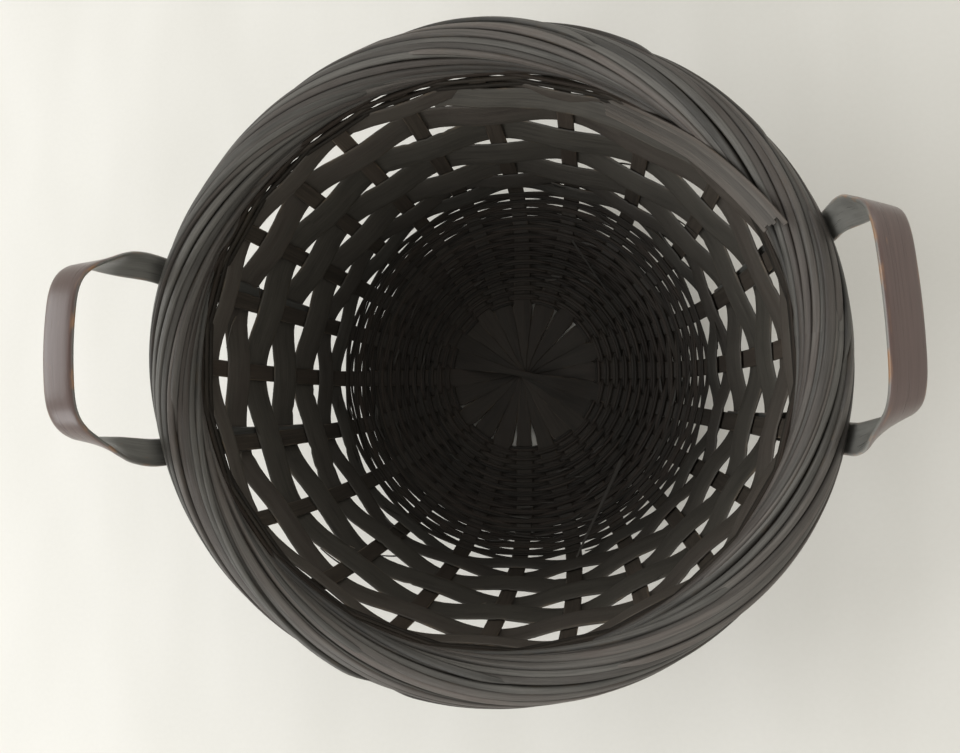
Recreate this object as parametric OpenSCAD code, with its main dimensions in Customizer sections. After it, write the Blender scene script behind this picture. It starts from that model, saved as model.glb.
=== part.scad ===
// Woven fruit basket of dark-stained split bamboo, with a twisted rim and two ear handles.
// Origin: middle of the round footprint, on the ground. +Z is up and the handles lie on the X axis.
// Millimetres and degrees throughout.

/* [Rim] */
// Outer diameter of the rim
rim_d = 250; // [249:0.5:252]
// Thickness of the twisted bundle that forms the rim
rim_thick = 18; // [17:0.5:18.5]
// Height of the middle of the rim bundle
rim_z = 102; // [102:0.5:104]
// Times that each strand winds round the core on its way round the rim
rim_turns = 2; // [1:1:3]

/* [Wall] */
// Radius of the flat bottom
base_flat_r = 60; // [59:0.5:61]
// Radius of the bend between bottom and wall
shoulder_r = 34; // [33:0.5:35]
// Angle through which the shoulder bends, from level
shoulder_angle = 68; // [67:0.5:69]
// Radius of the slight outward bow of the wall
wall_bow_r = 255; // [245:5:265]

/* [Through strips] */
// Thickness of a strip
strip_t = 1; // [0.8:0.1:1.1]
// Width where the strips leave the fine weave of the bottom
strip_w = 8; // [6.5:0.5:8]
// Width at the pinched centre of the bottom
strip_w_mid = 3; // [2:0.5:3]
// Width at the top of the wall
strip_w_top = 5.9; // [5:0.1:6.5]
// Rise of each crossing strip over the one below it at the centre
strip_layer = 0.5; // [0.5:0.02:0.52]
// How far hand spacing moves a strip from even spacing
strip_drift = 4.2; // [0:0.1:4.5]

/* [Weave] */
// Pitch of the fine reeds
reed_pitch = 2.2; // [2.1:0.05:2.2]
// Thickness of a fine reed
reed_t = 1.3; // [1.2:0.05:1.4]
// Width of the wide weaver strip in its widest row
weaver_w = 11.2; // [10.4:0.1:11.2]
// Thickness of the wide weaver strip
weaver_t = 0.9; // [0.7:0.1:1]
// How far the wide weaver swings in and out of the uprights
weaver_swing = 1.7; // [1.6:0.1:1.8]

/* [Handles] */
// Width of the handle strip
handle_w = 10.8; // [9.8:0.2:11]
// Thickness of the handle strip
handle_t = 1.6; // [1.4:0.1:1.8]
// Angle from the X axis to each leg
handle_angle = 15.9; // [15.5:0.1:16.3]

/* [Hidden] */

// Colours of the stained bamboo
strip_colour = [0.24, 0.20, 0.19];
reed_colour = [0.19, 0.15, 0.13];
weaver_colour = [0.30, 0.27, 0.27];
rim_colour = [0.36, 0.33, 0.34];
handle_colour = [0.45, 0.26, 0.19];

// Clearance beside a strip inside the fine weave, and clearance on its faces
slot_gap = 0.25;
slot_slack = 0.2;
// From the middle of the fine weave to its face
band_half = strip_t / 2 + slot_gap + reed_t;
// How much of the reeds' round undersides is worn flat where the bottom rests on the ground
worn_flat = 0.12;
// Height of the middle of the woven bottom
base_z = band_half - worn_flat;
// Height at which the uprights end, under the rim bundle
wall_top_z = 94.5;

// Hand shaping: where it starts, the rim's ovalness and its long axis, and the wall's own between
shape_from_z = 18;
rim_oval = 0.024;
oval_angle = -16;
wall_oval = 2.4;
wall_lean = 2.2;

// Through strips: eleven strips make twenty-two uprights
strip_count = 11;
stake_count = 2 * strip_count;
pinch_r = 12.5;
spread_r = 36;
settle_r = 31;
strip_mid_t = 0.45;
// Height of the lowest strip above the ground where they cross
cross_gap = 0.02;
// Narrowing of a strip by the time it reaches the wall
strip_narrows = 0.6;
// The strips bunch up furthest from this angle, and by how much of strip_drift in all
drift_angle = 7;
drift_level = 0.86;
// Distance up the wall where a strip's straight lengths change from short to long
bend_end = 40;
bend_step = 5;
wall_steps = 8;
// Corner of the shoulder where the wall begins
shoulder_end_r = base_flat_r + shoulder_r * sin(shoulder_angle);
shoulder_end_z = base_z + shoulder_r * (1 - cos(shoulder_angle));
shoulder_len = shoulder_r * shoulder_angle * PI / 180;
wall_top_angle = acos(cos(shoulder_angle) - (wall_top_z - shoulder_end_z) / wall_bow_r);
wall_len = shoulder_len + wall_bow_r * (wall_top_angle - shoulder_angle) * PI / 180;

// Fine weave: rows of reed in each band, from the centre outwards
band_rows = [4, 4, 3, 4, 4, 4, 3];
fine_start_r = 35.8;
band_gap = 0.05;
// Height of a reed's rounded back above the groove between two reeds, and its straight lengths
back_rise = 0.55;
back_steps = 5;

// Wide weaver rows: distance of each row's middle up the wall from the start of the shoulder
row_places = [37.8, 44.8, 55, 68.2, 81.6, 95.2, 107.7];
// How much narrower each row is than the widest
row_narrows = [5, 4, 1, 0.2, 0, 0.9, 5.3];
steps_per_gap = 3;
// Share of the full swing left one third of the way to the next upright
swing_shape = 0.675;
// Outward swing where the weaver also passes over a handle leg
leg_swing = 3.3;
leg_stakes = [1, 10, 12, 21];

// Collar reeds close under the rim
collar_places = [111.5, 113.2];
collar_reed_r = 0.8;
collar_gap = 0.1;

// Rim bundle: six strands laid round a core
rim_strands = 6;
strand_gap = 0.1;
core_gap = 0.4;
rim_mid_r = rim_d / 2 - rim_thick / 2;
strand_lay_r = rim_thick / 3;
strand_r = rim_thick / 6 - strand_gap;
core_r = rim_thick / 6 - core_gap;
rim_steps = 48;
strand_sides = 6;
ring_steps = 60;
ring_sides = 8;

// Handle leg: its foot and the last place where it lies against the wall, measured up the wall
leg_foot = 48;
leg_leaves = 99;
leg_foot_w = 7.5;
leg_gap = 0.15;
leg_steps = 6;
// Leg centreline passing under and round the rim, as [radius, height]
leg_round_rim = [
    [111, 84.3], [113.3, 88], [117.4, 90.6], [122.2, 93.2], [125.7, 97.2], [126.8, 102], [127, 107]
];
// Point inside the rim that the loop rises from
loop_root = [122.1, 34.8, 107];
// Handle loop from the rim to its crown, as [x, y, height, twist]
handle_loop = [
    [121.9, 34.3, 113.5, 10], [121.9, 33.2, 121, 32], [121.9, 31.8, 128, 62], [121.9, 30.3, 134.5, 86],
    [121.9, 28.6, 140, 90], [121.9, 26, 144.8, 90], [121.9, 22.3, 148.2, 90], [121.9, 17, 150.2, 90],
    [121.9, 9, 151.1, 90], [121.9, 0, 151.4, 90]
];
// Height at which the loop is all the way out
loop_full_z = 144;
// How far each handle has been bent by hand: the skin's slope at the crown, and its place
right_crown = 70;
right_spread = 2.3;
left_crown = 90;
left_spread = -0.8;

// Angle of a through strip: even spacing with a hand-made drift
function strip_angle(i) =
    let (even = i * 180 / strip_count)
    even + strip_drift * (drift_level - cos(2 * (even - drift_angle)));

// Angle of an upright, counted all the way round
function stake_angle(k) = strip_angle(k % strip_count) + 180 * floor(k / strip_count);

// Slope of the wall from level, a distance s up from the start of the shoulder
function wall_slope(s) =
    s < 0 ? 0
    : s < shoulder_len ? s / shoulder_r * 180 / PI
    : shoulder_angle + (s - shoulder_len) / wall_bow_r * 180 / PI;

// Middle of the wall as [radius, height]; a negative s lies on the flat bottom
function wall_point(s) =
    let (a = wall_slope(s))
    s < 0 ? [base_flat_r + s, base_z]
    : s < shoulder_len
    ? [base_flat_r + shoulder_r * sin(a), base_z + shoulder_r * (1 - cos(a))]
    : [
        shoulder_end_r + wall_bow_r * (sin(a) - sin(shoulder_angle)),
        shoulder_end_z + wall_bow_r * (cos(shoulder_angle) - cos(a))
    ];

// How oval and uneven the hand-shaped wall is: nothing over the close weave, all of it at the rim
function made_share(z) = min(max((z - shape_from_z) / (rim_z - shape_from_z), 0), 1);

// Radius that a true radius and height have at an angle round the basket
function made_r(r, z, angle) =
    let (k = made_share(z))
    r * (1 + rim_oval * k * cos(2 * (angle - oval_angle)))
    + 4 * k * (1 - k) * (wall_oval * cos(2 * angle) - wall_lean * sin(angle));

// The same point moved outwards from the wall by d
function off_wall(s, d) = wall_point(s) + d * [sin(wall_slope(s)), -cos(wall_slope(s))];

// Half of a strip's centreline as [radius, height, slope, thickness]; half is 0 or 1
function strip_line(i, half) =
    let (mid_z = strip_layer * (i + 0.5) + cross_gap, angle = strip_angle(i) + 180 * half)
    concat(
        [[0, mid_z, 0, strip_mid_t], [pinch_r, mid_z, 0, strip_mid_t], [settle_r, base_z, 0, strip_t]],
        [
            for (s = [0:bend_step:bend_end])
                let (p = wall_point(s))
                [made_r(p[0], p[1], angle), p[1], wall_slope(s), strip_t]
        ],
        [
            for (j = [1:wall_steps])
                let (s = bend_end + (wall_len - bend_end) * j / wall_steps, p = wall_point(s))
                [made_r(p[0], p[1], angle), p[1], wall_slope(s), strip_t]
        ]
    );

// One face of half a strip: side is 1 for the inner face and -1 for the outer
function strip_face(i, half, side, grow) = [
    for (p = strip_line(i, half))
        let (d = side * (p[3] / 2 + grow))
        [p[0] - d * sin(p[2]), p[1] + d * cos(p[2])]
];

function backwards(list) = [for (j = [len(list) - 1:-1:0]) list[j]];
function mirrored(list) = [for (p = list) [-p[0], p[1]]];
function without_first(list) = [for (j = [1:len(list) - 1]) list[j]];

// Outline of a whole strip seen from its edge
function strip_side(i, grow) =
    concat(
        backwards(mirrored(strip_face(i, 1, 1, grow))), without_first(strip_face(i, 0, 1, grow)),
        backwards(strip_face(i, 0, -1, grow)), without_first(mirrored(strip_face(i, 1, -1, grow)))
    );

// Outline of a whole strip seen from above
function strip_plan(grow) =
    let (
        half = [
            [0, strip_w_mid], [pinch_r, strip_w_mid], [spread_r, strip_w], [base_flat_r, strip_w],
            [shoulder_end_r, strip_w - strip_narrows], [rim_mid_r, strip_w_top]
        ],
        edge = [for (p = half) [p[0], p[1] / 2 + grow]]
    )
    concat(
        backwards(mirrored(edge)), without_first(edge),
        backwards([for (p = edge) [p[0], -p[1]]]), without_first([for (p = edge) [-p[0], -p[1]]])
    );

// The body of a through strip in its place, grown sideways and face to face when it cuts a slot
module strip_body(i, side_grow = 0, face_grow = 0) {
    rotate([0, 0, strip_angle(i)])
        intersection() {
            rotate([90, 0, 0])
                linear_extrude(height = 2 * strip_w, center = true)
                    polygon(strip_side(i, face_grow));
            linear_extrude(height = 2 * wall_top_z, center = true)
                polygon(strip_plan(side_grow));
        }
}

module through_strip(i) {
    color(strip_colour)
        strip_body(i);
}

// Number of reed rows before a band
function rows_before(b) = b == 0 ? 0 : band_rows[b - 1] + rows_before(b - 1);

// Rounded backs of a band's reed rows on one side of the wall; side is 1 for the outer side
function reed_backs(b, side) =
    let (first = fine_start_r - base_flat_r + reed_pitch * rows_before(b))
    [
        for (row = [0:band_rows[b] - 1])
            for (j = [0:back_steps - (row == band_rows[b] - 1 ? 0 : 1)])
                let (
                    turn = 180 * j / back_steps,
                    along = first + reed_pitch * (row + 0.5) - (reed_pitch - band_gap) / 2 * cos(turn)
                )
                off_wall(along, side * (band_half - back_rise + back_rise * sin(turn)))
    ];

// A band of fine reed rows, gripping the through strips in its slots
module fine_weave(b) {
    color(reed_colour)
        difference() {
            rotate_extrude($fn = 96)
                polygon(concat(reed_backs(b, -1), backwards(reed_backs(b, 1))));
            for (i = [0:strip_count - 1])
                strip_body(i, slot_gap, slot_slack);
            translate([0, 0, -band_half])
                cylinder(r = rim_d / 2, h = band_half);
        }
}

// How far a weaver row stands off the wall as it passes upright k. The top row passes behind the legs.
function swing_at(row, k) =
    let (
        outside = (row + k) % 2 == 1,
        over_leg = row_places[row] < leg_leaves && len(search(k, leg_stakes)) > 0
    )
    outside ? (over_leg ? leg_swing : weaver_swing) : -weaver_swing;

// Points [angle, stand-off] along a weaver row
function weaver_path(row) = [
    for (k = [0:stake_count - 1])
        for (j = [0:steps_per_gap - 1])
            let (
                here = swing_at(row, k),
                next = swing_at(row, (k + 1) % stake_count),
                share = [1, swing_shape, -swing_shape][j],
                turn = (stake_angle(k + 1) - stake_angle(k)) * j / steps_per_gap
            )
            [stake_angle(k) + turn, (here + next) / 2 + (here - next) / 2 * share]
];

// A radius and height placed at an angle, without and with the hand shaping
function true_round(p, angle) = [p[0] * cos(angle), p[0] * sin(angle), p[1]];
function round_z(p, angle) = true_round([made_r(p[0], p[1], angle), p[1]], angle);

// Triangles that join rings of n points; a closed sweep joins its last ring to its first
function ring_faces(rings, n, closed) = [
    for (a = [0:rings - (closed ? 1 : 2)])
        for (b = [0:n - 1])
            let (a2 = (a + 1) % rings, b2 = (b + 1) % n)
            for (face = [[a * n + b, a2 * n + b, a * n + b2], [a * n + b2, a2 * n + b, a2 * n + b2]])
                face
];

// A wide weaver row, in and out of the uprights all the way round
module wide_weaver(row) {
    s = row_places[row];
    half_w = (weaver_w - row_narrows[row]) / 2;
    path = weaver_path(row);
    points = [
        for (p = path)
            for (c = [[1, 1], [1, -1], [-1, -1], [-1, 1]])
                round_z(off_wall(s + c[0] * half_w, p[1] + c[1] * weaver_t / 2), p[0])
    ];
    color(weaver_colour)
        polyhedron(points, ring_faces(len(path), 4, true));
}

// A round reed running round the basket, its middle at a radius and height
module ring_reed(middle, reed_r) {
    points = [
        for (j = [0:ring_steps - 1])
            for (c = [0:ring_sides - 1])
                let (a = -360 * (c + 0.5) / ring_sides)
                round_z(middle + reed_r * [cos(a), sin(a)], 360 * j / ring_steps)
    ];
    polyhedron(points, ring_faces(ring_steps, ring_sides, true));
}

// The thin reeds under the rim, on one side of the uprights
module collar_reeds(side) {
    color(reed_colour)
        for (s = collar_places)
            ring_reed(off_wall(s, side * (strip_t / 2 + collar_reed_r + collar_gap)), collar_reed_r);
}

module rim_core() {
    color(rim_colour)
        ring_reed([rim_mid_r, rim_z], core_r);
}

// One rim strand, winding from the outer edge over the top to the inner edge, clockwise from above
module rim_strand(n) {
    points = [
        for (j = [0:rim_steps - 1])
            let (
                around = 360 * j / rim_steps,
                lay = 360 * n / rim_strands + rim_turns * around
            )
            for (c = [0:strand_sides - 1])
                let (a = lay + 360 * (c + 0.5) / strand_sides)
                round_z(
                    [
                        rim_mid_r + strand_lay_r * cos(lay) + strand_r * cos(a),
                        rim_z - strand_lay_r * sin(lay) - strand_r * sin(a)
                    ],
                    around
                )
    ];
    color(rim_colour)
        polyhedron(points, ring_faces(rim_steps, strand_sides, true));
}

// Half a handle, from foot to crown, as [point, outward direction, width]
function leg_dir() = [cos(handle_angle), sin(handle_angle), 0];
function handle_half(crown) = concat(
    [
        for (j = [0:leg_steps])
            let (
                s = leg_foot + (leg_leaves - leg_foot) * j / leg_steps,
                w = leg_foot_w + (handle_w - leg_foot_w) * j / leg_steps
            )
            [true_round(off_wall(s, strip_t / 2 + leg_gap + handle_t / 2), handle_angle), leg_dir(), w]
    ],
    [for (p = leg_round_rim) [true_round(p, handle_angle), leg_dir(), handle_w]],
    [
        for (j = [0:len(handle_loop) - 1])
            let (p = handle_loop[j], last = j == len(handle_loop) - 1)
            let (
                before = j == 0 ? loop_root : handle_loop[j - 1],
                after = last ? [p[0], -handle_loop[j - 1][1], handle_loop[j - 1][2]] : handle_loop[j + 1],
                along = [0, after[1] - before[1], after[2] - before[2]],
                loop_out = [0, along[2], -along[1]] / norm(along),
                twist = p[3] * crown / 90,
                sideways = [p[0], p[1], 0] / norm([p[0], p[1]])
            )
            [[p[0], p[1], p[2]], cos(twist) * sideways + sin(twist) * loop_out, handle_w]
    ]
);

function flipped(list) = [for (p = list) [[p[0][0], -p[0][1], p[0][2]], [p[1][0], -p[1][1], p[1][2]], p[2]]];
function unit(v) = v / norm(v);

// A point moved outwards by up to spread as it nears the crown
function spread_out(p, spread) =
    p + [spread * min(max((p[2] - loop_root[2]) / (loop_full_z - loop_root[2]), 0), 1), 0, 0];

// A direction, or a point with the hand shaping, turned round the basket
function turned(v, turn) =
    [v[0] * cos(turn) - v[1] * sin(turn), v[0] * sin(turn) + v[1] * cos(turn), v[2]];
function shaped(v, turn) = round_z([norm([v[0], v[1]]), v[2]], atan2(v[1], v[0]) + turn);

// A handle strip: both legs tucked outside the uprights, and the loop above the rim. At the crown its
// skin faces up crown degrees from level, and it is moved outwards by spread.
module handle(turn, crown, spread) {
    half = handle_half(crown);
    path = [
        for (p = concat(half, without_first(backwards(flipped(half)))))
            [shaped(spread_out(p[0], spread), turn), turned(p[1], turn), p[2]]
    ];
    last = len(path) - 1;
    points = [
        for (j = [0:last])
            let (
                along = unit(path[min(j + 1, last)][0] - path[max(j - 1, 0)][0]),
                out = unit(path[j][1] - (path[j][1] * along) * along),
                side = cross(along, out)
            )
            for (c = [[1, 1], [-1, 1], [-1, -1], [1, -1]])
                path[j][0] + c[0] * path[j][2] / 2 * side + c[1] * handle_t / 2 * out
    ];
    foot = [[0, 1, 2], [0, 2, 3]];
    end = [for (f = [[2, 1, 0], [3, 2, 0]]) [for (v = f) 4 * last + v]];
    color(handle_colour)
        polyhedron(points, concat(ring_faces(last + 1, 4, false), foot, end));
}

module handle_right() {
    handle(0, right_crown, right_spread);
}

module handle_left() {
    handle(180, left_crown, left_spread);
}

through_strip(0);  // through_strip_01
through_strip(1);  // through_strip_02
through_strip(2);  // through_strip_03
through_strip(3);  // through_strip_04
through_strip(4);  // through_strip_05
through_strip(5);  // through_strip_06
through_strip(6);  // through_strip_07
through_strip(7);  // through_strip_08
through_strip(8);  // through_strip_09
through_strip(9);  // through_strip_10
through_strip(10);  // through_strip_11
fine_weave(0);  // fine_weave_01
fine_weave(1);  // fine_weave_02
fine_weave(2);  // fine_weave_03
fine_weave(3);  // fine_weave_04
fine_weave(4);  // fine_weave_05
fine_weave(5);  // fine_weave_06
fine_weave(6);  // fine_weave_07
wide_weaver(0);  // wide_weaver_01
wide_weaver(1);  // wide_weaver_02
wide_weaver(2);  // wide_weaver_03
wide_weaver(3);  // wide_weaver_04
wide_weaver(4);  // wide_weaver_05
wide_weaver(5);  // wide_weaver_06
wide_weaver(6);  // wide_weaver_07
collar_reeds(-1);  // collar_reeds_inner
collar_reeds(1);  // collar_reeds_outer
rim_core();
rim_strand(0);  // rim_strand_01
rim_strand(1);  // rim_strand_02
rim_strand(2);  // rim_strand_03
rim_strand(3);  // rim_strand_04
rim_strand(4);  // rim_strand_05
rim_strand(5);  // rim_strand_06
handle_left();
handle_right();
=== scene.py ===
import math

import bmesh
import bpy
import numpy as np
from mathutils import Matrix, Vector


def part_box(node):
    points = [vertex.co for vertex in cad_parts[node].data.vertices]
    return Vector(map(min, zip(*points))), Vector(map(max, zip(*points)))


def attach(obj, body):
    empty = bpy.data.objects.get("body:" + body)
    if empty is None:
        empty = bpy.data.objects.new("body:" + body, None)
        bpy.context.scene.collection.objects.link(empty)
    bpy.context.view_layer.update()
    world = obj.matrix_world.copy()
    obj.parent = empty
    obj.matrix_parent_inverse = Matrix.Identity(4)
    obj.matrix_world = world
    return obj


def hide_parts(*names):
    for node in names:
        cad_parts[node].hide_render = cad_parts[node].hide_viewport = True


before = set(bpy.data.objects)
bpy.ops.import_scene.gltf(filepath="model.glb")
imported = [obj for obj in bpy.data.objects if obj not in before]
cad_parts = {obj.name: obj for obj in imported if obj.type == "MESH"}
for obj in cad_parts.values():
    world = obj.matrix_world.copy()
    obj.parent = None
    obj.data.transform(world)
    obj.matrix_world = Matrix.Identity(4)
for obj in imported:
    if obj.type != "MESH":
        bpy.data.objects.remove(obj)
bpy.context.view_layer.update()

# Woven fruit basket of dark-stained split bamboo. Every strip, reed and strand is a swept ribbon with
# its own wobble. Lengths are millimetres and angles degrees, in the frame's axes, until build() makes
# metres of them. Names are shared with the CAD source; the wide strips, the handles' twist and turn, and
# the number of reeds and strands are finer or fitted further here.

MM = 0.001
rng = np.random.default_rng(22)


def box_mm(node):
    return [np.array(corner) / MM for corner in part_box(node)]


# --- Sizes ---------------------------------------------------------------------------------------------

core_lo, core_hi = box_mm("rim_core")
RIM_Z = (core_lo[2] + core_hi[2]) / 2
CORE_R = (core_hi[2] - core_lo[2]) / 2
RIM_MID_R = (core_hi - core_lo)[:2].sum() / 4 - CORE_R
BUNDLE_R = 9.0

BASE_FLAT_R = 60.0
SHOULDER_R = 34.0
SHOULDER_ANGLE = math.radians(68)
WALL_BOW_R = 255.0
BASE_Z = 1.93
SHAPE_FROM_Z = 18.0
RIM_OVAL = 0.024
OVAL_ANGLE = -16.0
WALL_OVAL = 2.4
WALL_LEAN = 2.2

STRIP_COUNT = 11
STAKE_COUNT = 2 * STRIP_COUNT
STRIP_DRIFT = 4.2
DRIFT_LEVEL = 0.86
DRIFT_ANGLE = 7.0
STRIP_T = 1.0
STRIP_LAYER = 0.5
PINCH_R = 12.5
SETTLE_R = 35.0
STRIP_MID_T = 0.45
PETAL_GAP_ANGLE = 279.0

BAND_ROWS = [4, 4, 3, 4, 4, 4, 3]
FINE_START_R = 35.8
REED_PITCH = 2.2

ROW_PLACES = [37.8, 44.8, 55.0, 68.2, 81.6, 95.2, 107.7]
ROW_WIDTHS = [7.0, 8.3, 11.4, 12.2, 12.4, 11.5, 7.2]
WEAVER_T = 0.9
WEAVER_SWING = 1.85
SHINGLE = 0.09
LEG_SWING = 3.4
LEG_STAKES = (1, 10, 12, 21)
# How the edges of the wide strips vary: rows above this level take the whole packing
WIDE_ROWS_FROM = 50
LOW_ROW_PACKING = 0.4
RAGGED_EDGE = 0.25
CHIP_DEPTH = 1.1
CHIP_SHARE = 0.02
# Direction in which the wide rows lie furthest apart
OPEN_ANGLE = -115
COLLAR_PLACES = [111.3, 112.7, 114.1, 115.5, 116.9]

HANDLE_W = 10.8
HANDLE_T = 1.6
HANDLE_ANGLE = 15.9
LEG_FOOT = 48.0
LEG_LEAVES = 99.0
LEG_FOOT_W = 7.5
LEG_ROUND_RIM = [
    (111, 84.3), (113.3, 88), (117.4, 90.6), (122.2, 93.2), (125.7, 97.2), (126.8, 102), (127, 107),
]
HANDLE_LOOP = [
    (121.9, 34.3, 113.5, 5), (121.9, 33.2, 121, 20), (121.9, 31.8, 128, 46), (121.9, 30.3, 134.5, 72),
    (121.9, 28.6, 140, 86), (121.9, 26, 144.8, 90), (121.9, 22.3, 148.2, 90), (121.9, 17, 150.2, 90),
    (121.9, 9, 151.1, 90), (121.9, 0, 151.4, 90),
]
LOOP_ROOT_XY = (122.1, 34.8)
LOOP_ROOT_Z = 107.0
LOOP_FULL_Z = 144.0
RIGHT_TURN, RIGHT_CROWN, RIGHT_SPREAD = 0.7, 70.0, 2.3
LEFT_TURN, LEFT_CROWN, LEFT_SPREAD = 179.0, 90.0, -0.8

# --- Shape of the basket -------------------------------------------------------------------------------

SHOULDER_LEN = SHOULDER_R * SHOULDER_ANGLE
SHOULDER_END_R = BASE_FLAT_R + SHOULDER_R * math.sin(SHOULDER_ANGLE)
SHOULDER_END_Z = BASE_Z + SHOULDER_R * (1 - math.cos(SHOULDER_ANGLE))


def wall_slope(s):
    """Slope from level, in radians, a distance s up from the start of the shoulder."""
    upper = SHOULDER_ANGLE + (s - SHOULDER_LEN) / WALL_BOW_R
    return np.where(s < 0, 0, np.where(s < SHOULDER_LEN, s / SHOULDER_R, upper))


def off_wall(s, d=0.0):
    """Radius and height of the wall's middle at s, moved outwards by d. A negative s is on the bottom."""
    s = np.asarray(s, float)
    a = wall_slope(s)
    bend_r = BASE_FLAT_R + SHOULDER_R * np.sin(a)
    bend_z = BASE_Z + SHOULDER_R * (1 - np.cos(a))
    wall_r = SHOULDER_END_R + WALL_BOW_R * (np.sin(a) - math.sin(SHOULDER_ANGLE))
    wall_z = SHOULDER_END_Z + WALL_BOW_R * (math.cos(SHOULDER_ANGLE) - np.cos(a))
    r = np.where(s < 0, BASE_FLAT_R + s, np.where(s < SHOULDER_LEN, bend_r, wall_r))
    z = np.where(s < 0, BASE_Z, np.where(s < SHOULDER_LEN, bend_z, wall_z))
    return r + d * np.sin(a), z - d * np.cos(a)


def made_r(r, z, angle):
    """Radius with the hand shaping: an oval rim, and a wall a little off true."""
    k = np.clip((z - SHAPE_FROM_Z) / (RIM_Z - SHAPE_FROM_Z), 0, 1)
    oval = 1 + RIM_OVAL * k * np.cos(np.radians(2 * (angle - OVAL_ANGLE)))
    lean = WALL_OVAL * np.cos(np.radians(2 * angle)) - WALL_LEAN * np.sin(np.radians(angle))
    return r * oval + 4 * k * (1 - k) * lean


def place(r, z, angle):
    """Points at a radius, height and angle, with the hand shaping."""
    r, z, angle = np.broadcast_arrays(np.asarray(r, float), z, angle)
    r = made_r(r, z, angle)
    a = np.radians(angle)
    return np.stack([r * np.cos(a), r * np.sin(a), z], 1)


def shaped(points):
    """The same for points given as x, y and z."""
    angle = np.degrees(np.arctan2(points[:, 1], points[:, 0]))
    return place(np.hypot(points[:, 0], points[:, 1]), points[:, 2], angle)


def outward(s, angle, tip=0.0):
    """Unit vectors square to the wall, pointing out, tipped to face down a little by tip radians."""
    slope, a = wall_slope(np.asarray(s, float)) - tip, np.radians(angle)
    level = -np.cos(slope) * np.ones_like(a)
    return np.stack([np.sin(slope) * np.cos(a), np.sin(slope) * np.sin(a), level], 1)


def strip_angle(i):
    even = i * 180 / STRIP_COUNT
    return even + STRIP_DRIFT * (DRIFT_LEVEL - math.cos(math.radians(2 * (even - DRIFT_ANGLE))))


STAKES = np.array([strip_angle(k % STRIP_COUNT) + 180 * (k // STRIP_COUNT) for k in range(STAKE_COUNT)])


def between_stakes(angle):
    """For each angle, the upright before it and how far on it is to the next, from 0 to 1."""
    angle = (np.asarray(angle) - STAKES[0]) % 360 + STAKES[0]
    k = np.clip(np.searchsorted(STAKES, angle, "right") - 1, 0, STAKE_COUNT - 1)
    after = np.append(STAKES, STAKES[0] + 360)
    return k, (angle - after[k]) / (after[k + 1] - after[k])


def strip_width(r):
    """Width of a through strip at radius r."""
    return np.interp(r, [0, 9, 18, 27, 34, 37, BASE_FLAT_R, SHOULDER_END_R, RIM_MID_R],
                     [3.0, 3.6, 6.0, 8.6, 10.3, 8.6, 8.2, 7.6, 6.6])


def ease(t):
    t = np.clip(t, 0, 1)
    return t * t * (3 - 2 * t)


def wobble(t, size, waves=(1, 2, 3, 5)):
    """A smooth random wave over t in turns, which closes on itself after one turn."""
    out = np.zeros_like(np.asarray(t, float))
    for n in waves:
        out += rng.normal() * np.cos(2 * np.pi * (n * t + rng.random())) / math.sqrt(n)
    return size * out / math.sqrt(len(waves))


# --- Mesh making ---------------------------------------------------------------------------------------

def flat_section(bevel=0.12, crown=0.0):
    """Outline of a split strip: across and depth, each from -1 to 1, with rounded edges."""
    across = np.array([-1, -1 + bevel * 0.35, -1 + bevel, -0.5, 0, 0.5, 1 - bevel, 1 - bevel * 0.35, 1])
    depth = np.array([0.3, 0.78, 1, 1, 1, 1, 1, 0.78, 0.3])
    top = np.stack([across, depth + crown * (1 - across ** 2)], 1)
    under = np.stack([across[::-1], -depth + crown * (1 - across[::-1] ** 2)], 1)
    return np.concatenate([top, under])


def round_section(sides=8, power=0.8):
    """Outline of a reed: a flattened round."""
    a = 2 * np.pi * (np.arange(sides) + 0.5) / sides
    across, depth = np.cos(a), np.sin(a)
    return np.stack([np.sign(v) * abs(v) ** power for v in (across, depth)], 1)


STRIP_SECTION = flat_section()
CROWNED_SECTION = flat_section(0.16, 0.35)
REED_SECTION = round_section()
STRAND_SECTION = round_section(12, 0.6)


def sweep(middle, out, width, thick, section=STRIP_SECTION, tint=None):
    """A ribbon along middle, with its skin facing out. Gives corners, faces, and for each corner where it
    is in the grain: distance along, distance across, tint, then depth and place across, -1 to 1, and
    height."""
    count, sides = len(middle), len(section)
    along = np.gradient(middle, axis=0)
    along /= np.linalg.norm(along, axis=1)[:, None]
    side = np.cross(along, out)
    side /= np.linalg.norm(side, axis=1)[:, None]
    out = np.cross(side, along)
    width, thick = (np.broadcast_to(np.asarray(v, float), (count,)) for v in (width, thick))
    u = section[None, :, 0] * width[:, None] / 2
    v = section[None, :, 1] * thick[:, None] / 2
    corners = middle[:, None] + side[:, None] * u[..., None] + out[:, None] * v[..., None]
    length = np.append(0, np.cumsum(np.linalg.norm(np.diff(middle, axis=0), axis=1)))
    tint = rng.random() if tint is None else tint
    grain = np.stack([
        np.repeat(length + 400 * tint, sides), u.ravel(), np.full(count * sides, tint),
        np.tile(section[:, 1], count), np.tile(section[:, 0], count), corners[..., 2].ravel()], 1)
    a, b = np.meshgrid(np.arange(count - 1), np.arange(sides), indexing="ij")
    a, b, c = a.ravel() * sides, b.ravel(), (b.ravel() + 1) % sides
    faces = np.stack([a + b, a + c, a + sides + c, a + sides + b], 1).tolist()
    faces += [list(range(sides))[::-1], [(count - 1) * sides + j for j in range(sides)]]
    return corners.reshape(-1, 3), faces, grain


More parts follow.
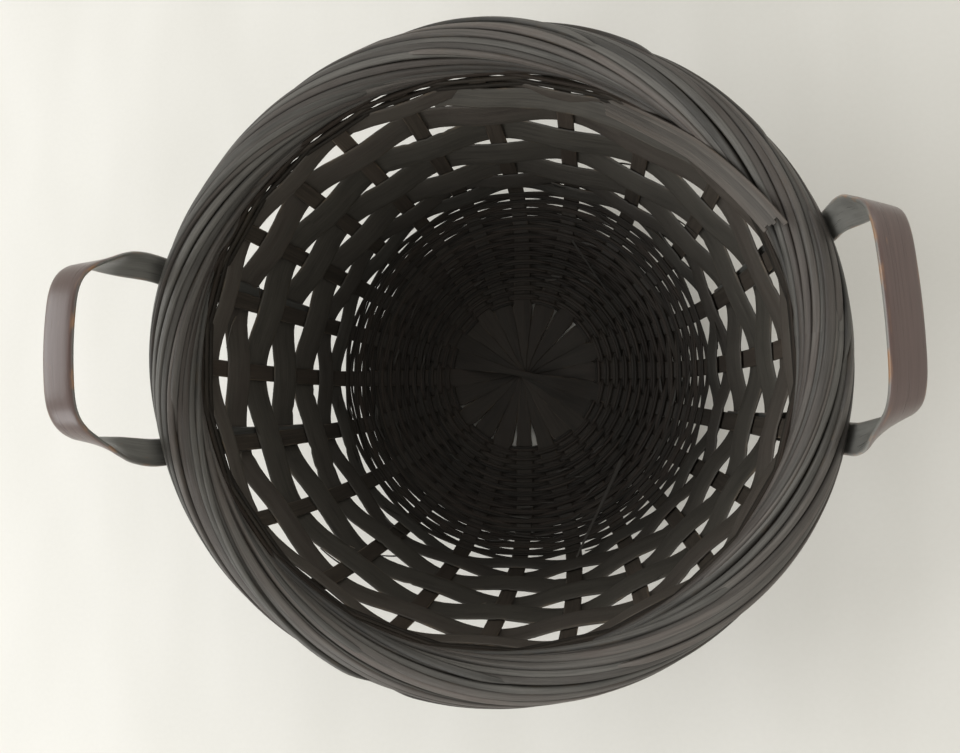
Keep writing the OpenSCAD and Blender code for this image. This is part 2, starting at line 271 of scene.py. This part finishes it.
def build(name, parts, material, slot, *nodes):
    """One piece from swept parts, standing for the CAD nodes named."""
    corners, faces, grain, start = [], [], [], 0
    for part_corners, part_faces, part_grain in parts:
        corners.append(part_corners)
        grain.append(part_grain)
        faces += [[v + start for v in face] for face in part_faces]
        start += len(part_corners)
    corners, grain = np.concatenate(corners) * MM, np.concatenate(grain)
    mesh = bpy.data.meshes.new(name)
    mesh.from_pydata(corners.tolist(), [], faces)
    for title, columns in (("grain", grain[:, :3]), ("depth", grain[:, 3:])):
        layer = mesh.attributes.new(title, "FLOAT_VECTOR", "POINT")
        layer.data.foreach_set("vector", columns.astype(np.float32).ravel())
    shell = bmesh.new()
    shell.from_mesh(mesh)
    bmesh.ops.recalc_face_normals(shell, faces=shell.faces)
    shell.to_mesh(mesh)
    shell.free()
    mesh.shade_smooth()
    mesh.set_sharp_from_angle(angle=math.radians(50))
    mesh.materials.append(material)
    piece = bpy.data.objects.new(name, mesh)
    bpy.context.scene.collection.objects.link(piece)
    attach(piece, "root")
    if nodes:
        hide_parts(*nodes)
    return piece


# --- Materials -----------------------------------------------------------------------------------------

class Nodes:
    """Short calls for making a node tree."""

    def __init__(self, name):
        self.material = bpy.data.materials.new(name)
        self.material.use_nodes = True
        self.tree = self.material.node_tree
        self.shader = self.tree.nodes["Principled BSDF"]

    def add(self, kind, inputs=None, **settings):
        node = self.tree.nodes.new("ShaderNode" + kind)
        for key, value in settings.items():
            setattr(node, key, value)
        for key, value in (inputs or {}).items():
            self.put(node.inputs[key], value)
        return node

    def put(self, socket, value):
        if isinstance(value, bpy.types.NodeSocket):
            self.tree.links.new(value, socket)
        else:
            socket.default_value = value

    def maths(self, operation, *values):
        return self.add("Math", dict(enumerate(values)), operation=operation).outputs[0]

    def noise(self, along, across, up, x, y, z, detail=3.0):
        """Noise stretched by its scales along the grain, across it, and from one strip to the next."""
        place_in = self.add("CombineXYZ", {
            0: self.maths("MULTIPLY", x, along), 1: self.maths("MULTIPLY", y, across),
            2: self.maths("MULTIPLY", z, up)})
        inputs = {"Vector": place_in.outputs[0], "Scale": 1.0, "Detail": detail}
        return self.add("TexNoise", inputs).outputs[0]

    def levels(self, value, low, high, to_low=0.0, to_high=1.0):
        return self.add("MapRange", {0: value, 1: low, 2: high, 3: to_low, 4: to_high}).outputs[0]

    def mix(self, share, first, second):
        node = self.add("Mix", data_type="RGBA")
        self.put(node.inputs[0], share)
        self.put(node.inputs[6], first)
        self.put(node.inputs[7], second)
        return node.outputs[2]


def stained(name, dark, light, other, worn, wear=0.5, gloss=(0.36, 0.55), fibre=2.2, bump=0.5, skin=None,
            shine=0.4, coat=0.0, vary=0.2, shade_by_height=(0, 100, 1, 1), crease_shade=1.0):
    """Stained split bamboo: fibres along the strip, blotches, a second tone on some strips, and worn edges.
    skin, where given, is the colour of the glossy outer side of the cane. shade_by_height is two heights and
    how
    light the colour is at each: painted shade, darker lower down where less light reaches. crease_shade is
    how light the colour is at the sides of each strip or strand: painted shade in the creases between them."""
    n = Nodes(name)
    x, y, z = n.add("SeparateXYZ", {0: n.add("Attribute", attribute_name="grain").outputs["Vector"]}).outputs
    depth = n.add("Attribute", attribute_name="depth").outputs["Vector"]
    deep, side, height = n.add("SeparateXYZ", {0: depth}).outputs
    streak = n.noise(0.03, fibre, 61.0, x, y, z, 5.0)
    fine = n.noise(0.10, fibre * 4.5, 83.0, x, y, z, 2.0)
    blotch = n.noise(0.045, 0.30, 37.0, x, y, z, 3.0)
    tone = n.maths("ADD", n.levels(streak, 0.30, 0.70, 0.0, 0.62), n.levels(fine, 0.35, 0.65, 0.0, 0.38))
    body = n.mix(tone, (*dark, 1), (*light, 1))
    own = n.maths("FRACT", n.maths("MULTIPLY", z, 7.3))
    share = n.maths("MULTIPLY", n.levels(own, 0.35, 0.9), n.levels(blotch, 0.35, 0.65, 0.25, 1.0))
    body = n.mix(share, body, n.mix(tone, tuple(0.72 * c for c in other) + (1,), (*other, 1)))
    body = n.mix(n.levels(blotch, 0.52, 0.75, 0.0, 0.5), body, tuple(0.55 * c for c in dark) + (1,))
    if skin:
        gleam = n.mix(tone, tuple(0.70 * c for c in skin) + (1,), (*skin, 1))
        body = n.mix(n.levels(deep, 0.2, 0.7), body, gleam)
    patch = n.noise(0.12, 0.8, 29.0, x, y, z, 4.0)
    edge = n.levels(n.maths("ABSOLUTE", side), 0.80, 1.0)
    rubbed = n.maths("MULTIPLY", edge, n.levels(patch, 0.50, 0.66, 0.0, wear))
    scuffed = n.levels(patch, 0.70, 0.80, 0.0, wear * 0.6)
    body = n.mix(n.maths("MAXIMUM", rubbed, scuffed), body, (*worn, 1))
    lightness = n.levels(n.maths("FRACT", n.maths("MULTIPLY", z, 13.7)), 0.0, 1.0, 1 - vary, 1 + vary)
    # Painted shade: the colour is made darker lower down, for the shade deep in the bowl and low on the
    # handles
    lightness = n.maths("MULTIPLY", lightness, n.levels(height, *shade_by_height))
    # Painted shade: darker towards the sides of each strip or strand, for the shade in the creases between
    # them
    lightness = n.maths("MULTIPLY", lightness, n.levels(n.maths("ABSOLUTE", side), 0.62, 1.0, 1.0, crease_shade))
    body = n.add("VectorMath", {0: body, 3: lightness}, operation="SCALE").outputs[0]
    n.put(n.shader.inputs["Base Color"], body)
    n.put(n.shader.inputs["Roughness"], n.levels(n.maths("ADD", tone, blotch), 0.4, 1.4, gloss[0], gloss[1]))
    relief = n.maths("ADD", n.maths("MULTIPLY", streak, 0.6), n.maths("MULTIPLY", fine, 0.4))
    hump = n.add("Bump", {"Strength": bump, "Distance": 0.00035, "Height": relief})
    n.put(n.shader.inputs["Normal"], hump.outputs[0])
    n.shader.inputs["Specular IOR Level"].default_value = shine
    n.shader.inputs["Coat Weight"].default_value = coat
    n.shader.inputs["Coat Roughness"].default_value = 0.28
    return n.material


WORN = (0.15, 0.11, 0.07)
# The height pairs below paint shade into each stain: darker lower down, lighter towards the rim
strip_stain = stained("stained_strip", (0.011, 0.0092, 0.0073), (0.029, 0.0238, 0.019), (0.031, 0.024, 0.019),
                      WORN, 0.30, gloss=(0.50, 0.68), shine=0.24, shade_by_height=(15, 75, 0.95, 2.3))
reed_stain = stained("stained_reed", (0.008, 0.0070, 0.0057), (0.022, 0.0185, 0.015), (0.026, 0.019, 0.015),
                     WORN, 0.15, gloss=(0.52, 0.70), shine=0.20, vary=0.35, shade_by_height=(60, 95, 1.0, 1.9))
weaver_stain = stained("stained_weaver", (0.034, 0.031, 0.026), (0.082, 0.075, 0.063), (0.080, 0.067, 0.057),
                       WORN, 0.5, gloss=(0.42, 0.60), shine=0.34, shade_by_height=(18, 80, 0.38, 1.0))
# The rim strands are painted darker at their sides, as the shade in the creases between strands
rim_stain = stained("stained_rim", (0.050, 0.048, 0.044), (0.122, 0.116, 0.106), (0.115, 0.096, 0.086), WORN,
                    0.35, gloss=(0.42, 0.60), fibre=1.3, shine=0.36, vary=0.30, bump=0.8, crease_shade=0.5)
splint_stain = stained("rubbed_splint", (0.046, 0.041, 0.036), (0.112, 0.100, 0.088), (0.112, 0.092, 0.078),
                       WORN, 0.5, gloss=(0.45, 0.62))
handle_stain = stained("stained_handle", (0.130, 0.129, 0.120), (0.205, 0.203, 0.190), (0.190, 0.185, 0.170),
                       (0.30, 0.16, 0.08), 0.9, gloss=(0.24, 0.38), fibre=1.2, skin=(0.118, 0.080, 0.072),
                       shine=0.45, coat=0.15, bump=0.2, vary=0.0, shade_by_height=(84, 102, 0.3, 1.0))

# --- Through strips ------------------------------------------------------------------------------------

def through_strip(i):
    """A strip right across the bottom and up both sides, thin and narrow where all eleven cross."""
    mid_z = STRIP_LAYER * (i + 0.5)
    r_flat = np.linspace(0, BASE_FLAT_R, 46)
    settle = ease((r_flat - PINCH_R) / (SETTLE_R - PINCH_R))
    z_flat = mid_z + (BASE_Z - mid_z) * settle
    s_wall = np.linspace(1.5, 113.4, 90)
    r_wall, z_wall = off_wall(s_wall)
    r = np.append(r_flat, r_wall)
    z = np.append(z_flat, z_wall)
    slope = np.append(np.zeros_like(r_flat), wall_slope(s_wall))
    thick = STRIP_MID_T + (STRIP_T - STRIP_MID_T) * ease((r - PINCH_R) / (SETTLE_R - PINCH_R))
    halves = []
    for half in (0, 1):
        angle = strip_angle(i) + 180 * half
        reach = r / RIM_MID_R
        stray = np.degrees(wobble(reach, 0.35, (1, 2)) * ease(reach * 3) / np.maximum(r, 20))
        points = place(r, z, angle + stray)
        a = math.radians(angle)
        out = np.stack([np.sin(slope) * math.cos(a), np.sin(slope) * math.sin(a), -np.cos(slope)], 1)
        wide = strip_width(r) * (1 + wobble(reach, 0.025, (2, 5, 9)))
        if abs(angle % 360 - PETAL_GAP_ANGLE) < 10:
            wide = wide * (1 - 0.24 * np.exp(-((r - 31) / 7) ** 2))
        halves.append((points, out, wide, thick))
    joined = [np.concatenate([b[::-1], a[1:]]) for a, b in zip(halves[0], halves[1])]
    return sweep(joined[0], -joined[1], joined[2], joined[3], CROWNED_SECTION)


for i in range(STRIP_COUNT):
    build(f"strip_{i + 1:02d}", [through_strip(i)], strip_stain, "split_strip", f"through_strip_{i + 1:02d}")

# --- Rows woven round the strips -----------------------------------------------------------------------

def packing(angle):
    """Extra width of the wide strips where the rows were pushed closer together."""
    a = np.radians(angle) - math.radians(OPEN_ANGLE)
    return 0.2 - 0.7 * np.cos(a) - 0.8 * np.cos(2 * a)


def woven_row(s, row, width, thick, swing, start, lap, section, sway=0.3, steps=14, legs=False, chips=False,
              tint=None):
    """A strip or reed woven round all the uprights, from the angle start to lap degrees past it. It is
    outside upright k when row + k is odd."""
    turn = np.linspace(0, 1, round(STAKE_COUNT * steps * (1 + lap / 360)) + 1)
    angle = start + (360 + lap) * turn
    k, share = between_stakes(angle)
    outside = (row + np.arange(STAKE_COUNT)) % 2 == 1
    reach = np.where(outside, swing, -swing) * rng.normal(1, 0.05, STAKE_COUNT)
    if legs:
        for leg in LEG_STAKES:
            reach[leg] = LEG_SWING if reach[leg] > 0 else reach[leg]
    radius = float(off_wall(s)[0])
    flat = min(0.47 * float(strip_width(radius)) * STAKE_COUNT / (2 * np.pi * radius), 0.42)
    t = np.clip((share - flat) / (1 - 2 * flat), 0, 1)
    across = 0.6 * ease(t) + 0.4 * t
    d = reach[k] * (1 - across) + reach[(k + 1) % STAKE_COUNT] * across
    own = angle / 360
    d = d + 0.25 * thick * (np.clip((turn * (360 + lap) - 360) / 6, 0, 1) - 0.5) * (lap > 0)
    level = s + wobble(own, sway, (1, 2, 3, 5, 8))
    r, z = off_wall(level, d)
    wide = width * (1 + wobble(own, 0.02, (3, 7, 12)))
    if chips:
        wide = wide + packing(angle) * (1.0 if s > WIDE_ROWS_FROM else LOW_ROW_PACKING)
        wide = wide - RAGGED_EDGE * rng.random(len(angle))
        wide = wide - CHIP_DEPTH * (rng.random(len(angle)) < CHIP_SHARE)
    out = outward(level, angle, SHINGLE if chips else 0)
    return sweep(place(r, z, angle), out, wide, thick, section, tint)


row_number = 0
for band, rows in enumerate(BAND_ROWS):
    parts = []
    for _ in range(rows):
        s = FINE_START_R - BASE_FLAT_R + REED_PITCH * (row_number + 0.5)
        high = ease((row_number - 15) / 8)
        for side in (-1, 1):
            parts.append(woven_row(
                s + side * REED_PITCH / 4, row_number, 1.55 - 0.5 * high * rng.random(), 1.3 - 0.35 * high,
                rng.uniform(0.75, 0.95), 360 * rng.random(), 5, REED_SECTION, sway=0.12 + 0.22 * high,
                steps=9))
        row_number += 1
    build(f"close_weave_{band + 1}", parts, reed_stain, "fine_reed", f"fine_weave_{band + 1:02d}")

for row, s in enumerate(ROW_PLACES):
    start = STAKES[[4, 17, 2, 12, 8, 3, 15][row]] + 5
    part = woven_row(
        s, row, ROW_WIDTHS[row], WEAVER_T, WEAVER_SWING, start, 24, STRIP_SECTION, sway=0.5,
        legs=s < LEG_LEAVES, chips=True)
    build(f"weaver_{row + 1}", [part], weaver_stain, "wide_weaver", f"wide_weaver_{row + 1:02d}")

collar = [
    woven_row(s, row + 1, 1.95, 1.4, 1.0, 360 * rng.random(), 5, REED_SECTION, sway=0.3, steps=8)
    for row, s in enumerate(COLLAR_PLACES)
]
build("collar_reeds", collar, reed_stain, "fine_reed", "collar_reeds_inner", "collar_reeds_outer")

# --- Splinters and loose ends --------------------------------------------------------------------------

def wall_splint(angle, turn, s, rise, width, d, lift=0.0, thick=0.35, taper=True, tip=0.0, tuck=0.0):
    """A thin splint along the wall from an angle and a level, turning and rising by the amounts given. tip
    leans its face up, and tuck puts both its ends that far behind the weave."""
    t = np.linspace(0, 1, 24)
    angles = angle + turn * t
    level = s + rise * t + wobble(t / 2, 0.25, (1, 2))
    r, z = off_wall(level, d + lift * t ** 2 + tuck * (1 - ease(5 * t) * ease(4 * (1 - t))))
    wide = width * (
        (1 - 0.85 * t ** 3) * (0.5 + 0.5 * ease(4 * t)) if taper else 1 + 0.04 * rng.normal(size=24))
    return sweep(place(r, z, angles), outward(level, angles, tip), wide, thick, STRIP_SECTION)


SPLINTER_PLACES = [
    (6, 74), (3, 96), (-122, 62), (-128, 88), (-131, 75), (-160, 88), (-163, 101), (168, 101), (164, 88),
    (58, 74), (54, 88), (40, 62), (-60, 88), (-95, 75),
]
splinters = [
    wall_splint(angle, rng.choice([-1, 1]) * rng.uniform(4, 8), level - 3, rng.uniform(3, 7),
                rng.uniform(0.5, 0.9), rng.uniform(-1.2, 1.2), rng.uniform(-1.5, 1.5))
    for angle, level in SPLINTER_PLACES
]
for _ in range(46):
    splinters.append(wall_splint(
        360 * rng.random(), rng.choice([-1, 1]) * rng.uniform(4, 9), rng.uniform(-12, 46), rng.uniform(-2, 2),
        rng.uniform(0.6, 1.1), -1.9, rng.uniform(-1.0, 0.2)))
build("splinters", splinters, weaver_stain, "fine_reed")

# A strip from the top row has sprung up over the inner edge of the rim, and its end has broken
loose_end = []
for j in range(6):
    off = 1.35 * (j - 2.5)
    t = np.linspace(0, rng.uniform(0.95, 1.0), 44)
    roll, face = np.radians(124 + 104 * t), np.radians(205 + 25 * t)
    lie = np.interp(t, [0, 0.5, 1], [14.4, 10.9, 10.6])
    around = 62 - 44 * t
    a = np.radians(around)
    out = np.stack([np.cos(face) * np.cos(a), np.cos(face) * np.sin(a), -np.sin(face)], 1)
    r = RIM_MID_R + lie * np.cos(roll) + off * np.sin(face)
    z = RIM_Z - lie * np.sin(roll) + off * np.cos(face)
    middle = place(r, z, around)
    loose_end.append(sweep(middle, out, 1.5, 0.7, STRIP_SECTION, 0.4 + 0.02 * j))
build("loose_end", loose_end, splint_stain, "wide_weaver")
spliced = wall_splint(100, -66, 105, 2.0, 8.4, -2.4, 0.0, 0.7, taper=False, tip=0.45, tuck=4.5)
build("spliced_end", [spliced], weaver_stain, "wide_weaver")


def stick(start, end, bow, width):
    """A fallen splint lying inside, from one point to another."""
    t = np.linspace(0, 1, 16)[:, None]
    middle = np.array(start) * (1 - t) + np.array(end) * t + np.array([0, 0, -4 * bow]) * t * (1 - t)
    return sweep(middle, np.array([[0, 0, 1]] * 16), width * (1 - 0.6 * t[:, 0]), 0.5, STRIP_SECTION)


fallen = [stick((47, -43, 7), (27, -84, 31), 3, 2.0), stick((27, 64, 9), (43, 38, 4.6), 1, 1.0)]
build("fallen_splints", fallen, weaver_stain, "fine_reed")

# --- Rim -----------------------------------------------------------------------------------------------

def rim_strand(lay, start, sweep_angle, depth_in, width, thick, turns=2.0, ends=True, section=STRAND_SECTION):
    """A strand laid in the rim, from the outer edge over the top to the inner edge, clockwise from above.
    lay is its angle round the bundle where it starts; depth_in is how far it lies inside the surface."""
    turn = np.linspace(0, 1, max(int(sweep_angle * 0.8), 24))
    around = start + sweep_angle * turn
    own = around / 360
    roll = np.radians(lay + turns * around + wobble(own, 5.0, (1, 2, 3, 5)))
    lie = BUNDLE_R - thick / 2 - depth_in + wobble(own, 0.28, (2, 3, 5, 9))
    wide, deep = width * (1 + wobble(own, 0.10, (2, 4, 7))), np.full_like(turn, thick)
    if ends:
        tuck = ease(np.minimum(turn, 1 - turn) * sweep_angle / 9)
        lie, wide, deep = lie - 1.8 * (1 - tuck), wide * (0.35 + 0.65 * tuck), deep * (0.5 + 0.5 * tuck)
    points = place(RIM_MID_R + lie * np.cos(roll), RIM_Z - lie * np.sin(roll), around)
    a = np.radians(around)
    out = np.stack([np.cos(roll) * np.cos(a), np.cos(roll) * np.sin(a), -np.sin(roll)], 1)
    return sweep(points, out, wide, deep, section)


STRANDS_EACH = 3
for group in range(6):
    parts = []
    for j in range(STRANDS_EACH):
        lay = 360 * (group * STRANDS_EACH + j) / (6 * STRANDS_EACH)
        parts.append(rim_strand(
            lay, 0, 360, 0.2 + 1.6 * rng.random(), rng.uniform(2.5, 3.2), 2.5, ends=False))
    for _ in range(3):
        parts.append(rim_strand(
            360 * rng.random(), 360 * rng.random(), rng.uniform(110, 230), rng.uniform(-0.6, 0.4),
            rng.uniform(1.9, 3.3), 2.0, turns=rng.uniform(1.7, 2.3)))
    build(f"rim_strands_{group + 1}", parts, rim_stain, "rim_strand", f"rim_strand_{group + 1:02d}")

around = np.linspace(0, 360, 181)
filling = []
for j in range(5):
    roll = np.radians(72 * j + 2 * around)
    points = place(RIM_MID_R + 3.4 * np.cos(roll), RIM_Z - 3.4 * np.sin(roll), around)
    a = np.radians(around)
    out = np.stack([np.cos(roll) * np.cos(a), np.cos(roll) * np.sin(a), -np.sin(roll)], 1)
    filling.append(sweep(points, out, 5.4, 5.4, round_section(10, 1.0)))
build("rim_filling", filling, reed_stain, "fine_reed", "rim_core")

# --- Handles -------------------------------------------------------------------------------------------

def smooth_path(rows, steps=7):
    """A smooth curve through all the rows of numbers."""
    rows = np.array(rows, float)
    rows = np.concatenate([[2 * rows[0] - rows[1]], rows, [2 * rows[-1] - rows[-2]]])
    out = []
    for a, b, c, d in zip(rows[:-3], rows[1:-2], rows[2:-1], rows[3:]):
        t = np.arange(steps)[:, None] / steps
        out.append(b + 0.5 * t * ((c - a) + t * ((2 * a - 5 * b + 4 * c - d) + t * (3 * (b - c) + d - a))))
    return np.concatenate(out + [rows[-2:-1]])


def handle(turn, crown, spread):
    """Both legs of a handle tucked down outside their uprights, and the loop above the rim. At the crown
    its skin faces up crown degrees from level, and it is moved outwards by spread."""
    a = math.radians(HANDLE_ANGLE)
    leg_dir = np.array([math.cos(a), math.sin(a), 0])
    half = []
    for j in range(7):
        share = j / 6
        r, z = off_wall(LEG_FOOT + (LEG_LEAVES - LEG_FOOT) * share, STRIP_T / 2 + 0.15 + HANDLE_T / 2)
        width = LEG_FOOT_W + (HANDLE_W - LEG_FOOT_W) * share
        half.append([*(float(r) * leg_dir[:2]), float(z), *leg_dir, width])
    half += [[*(r * leg_dir[:2]), z, *leg_dir, HANDLE_W] for r, z in LEG_ROUND_RIM]
    loop = [np.array(p[:3]) for p in HANDLE_LOOP]
    ahead = loop[1:] + [loop[-2] * [1, -1, 1]]
    behind = [np.array([*LOOP_ROOT_XY, LOOP_ROOT_Z])] + loop[:-1]
    for point, before, after, twist in zip(loop, behind, ahead, [math.radians(p[3]) for p in HANDLE_LOOP]):
        step, twist = (after - before)[1:], twist * crown / 90
        loop_out = np.array([0, step[1], -step[0]]) / np.hypot(*step)
        sideways = np.array([*point[:2], 0]) / np.hypot(*point[:2])
        out = np.clip((point[2] - LOOP_ROOT_Z) / (LOOP_FULL_Z - LOOP_ROOT_Z), 0, 1) * spread
        facing = math.cos(twist) * sideways + math.sin(twist) * loop_out
        half.append([point[0] + out, *point[1:], *facing, HANDLE_W])
    half = np.array(half)
    path = smooth_path(np.concatenate([half, (half * [1, -1, 1, 1, -1, 1, 1])[-2::-1]]))
    c, s = math.cos(math.radians(turn)), math.sin(math.radians(turn))
    spin = np.array([[c, s, 0], [-s, c, 0], [0, 0, 1]])
    middle, out, width = shaped(path[:, :3] @ spin), path[:, 3:6] @ spin, path[:, 6]
    own = np.linspace(0, 1, len(path))
    middle = middle + wobble(own, 0.25, (1, 2, 3))[:, None] * out * np.sin(np.pi * own)[:, None]
    width = width * (1 + wobble(own, 0.02, (3, 7)))
    return sweep(middle, out, width, HANDLE_T, flat_section(0.18, 0.25))


right = handle(RIGHT_TURN, RIGHT_CROWN, RIGHT_SPREAD)
build("handle_strip_right", [right], handle_stain, "handle_strip", "handle_right")
left = handle(LEFT_TURN, LEFT_CROWN, LEFT_SPREAD)
build("handle_strip_left", [left], handle_stain, "handle_strip", "handle_left")

# --- Camera, light and floor ---------------------------------------------------------------------------

# The lens: image width, focal length and shift, all in the same unit
IMAGE_W = 960
FOCAL = 701.1
SHIFT = (42.9, 4.2)


def look(place_mm, toward, up):
    """A camera or light frame at a place, looking along toward."""
    back = -Vector(toward).normalized()
    right = Vector(up).cross(back).normalized()
    turned = Matrix((right, back.cross(right), back)).transposed().to_4x4()
    return Matrix.Translation(Vector(place_mm) * MM) @ turned


camera = bpy.data.objects.new("camera", bpy.data.cameras.new("camera"))
bpy.context.scene.collection.objects.link(camera)
bpy.context.scene.camera = camera
camera.data.lens = camera.data.sensor_width * FOCAL / IMAGE_W
camera.data.shift_x, camera.data.shift_y = -SHIFT[0] / IMAGE_W, SHIFT[1] / IMAGE_W
camera.data.clip_start, camera.data.clip_end = 0.01, 20
camera.matrix_world = look((64.0, -30.2, 343.1), (-0.1851, 0.0781, -0.9796), (0.0400, 0.9966, 0.0719))

world = bpy.data.worlds.new("studio")
bpy.context.scene.world = world
world.use_nodes = True
sky = world.node_tree.nodes
height = sky.new("ShaderNodeSeparateXYZ")
overhead = sky.new("ShaderNodeMapRange")
tones = sky.new("ShaderNodeMix")
tones.data_type = "RGBA"
tones.inputs[6].default_value, tones.inputs[7].default_value = (1.0, 0.975, 0.90, 1), (0.30, 0.29, 0.27, 1)
overhead.inputs[1].default_value, overhead.inputs[2].default_value = 0.72, 0.93
for a, b in ((sky.new("ShaderNodeTexCoord").outputs["Generated"], height.inputs[0]),
             (height.outputs[2], overhead.inputs[0]), (overhead.outputs[0], tones.inputs[0]),
             (tones.outputs[2], sky["Background"].inputs["Color"])):
    world.node_tree.links.new(a, b)
sky["Background"].inputs["Strength"].default_value = 0.90


def soft_light(name, place_mm, size, watts, colour):
    lamp = bpy.data.objects.new(name, bpy.data.lights.new(name, "AREA"))
    lamp.data.shape, lamp.data.size, lamp.data.energy, lamp.data.color = "DISK", size, watts, colour
    bpy.context.scene.collection.objects.link(lamp)
    lamp.matrix_world = look(place_mm, [-c for c in place_mm], (0.1, 1, 0))


soft_light("window", (-1600, 260, 1200), 1.3, 13.8, (0.97, 0.99, 1.0))
soft_light("far", (300, 1500, 1100), 1.3, 3.5, (0.99, 0.99, 1.0))
soft_light("door", (-900, -900, 800), 0.8, 7.0, (0.98, 0.99, 1.0))

floor_stuff = Nodes("pale_cloth")
cloth = floor_stuff.add("SeparateXYZ", {0: floor_stuff.add("TexCoord").outputs["Object"]}).outputs
# Painted shade: broad streaks in the cloth's colour stand for the light and shade on its soft folds, with a
# fine thread texture mixed in
painted_fold_shade = floor_stuff.noise(14.0, 5.0, 1.0, *cloth, 2.0)
threads = floor_stuff.noise(420.0, 420.0, 1.0, *cloth, 2.0)
painted_fold_shade = floor_stuff.maths(
    "ADD", floor_stuff.maths("MULTIPLY", painted_fold_shade, 0.85), floor_stuff.maths("MULTIPLY", threads, 0.15))
floor_stuff.put(floor_stuff.shader.inputs["Base Color"], floor_stuff.mix(
    floor_stuff.levels(painted_fold_shade, 0.3, 0.7), (0.745, 0.735, 0.700, 1), (0.820, 0.810, 0.780, 1)))
floor_stuff.shader.inputs["Roughness"].default_value = 0.9
floor_mesh = bpy.data.meshes.new("floor")
floor_mesh.from_pydata([(x, y, -0.0002) for x, y in ((-4, -4), (4, -4), (4, 4), (-4, 4))], [], [(0, 1, 2, 3)])
floor_mesh.materials.append(floor_stuff.material)
floor = bpy.data.objects.new("floor", floor_mesh)
bpy.context.scene.collection.objects.link(floor)

bpy.context.scene.view_settings.view_transform = "Standard"
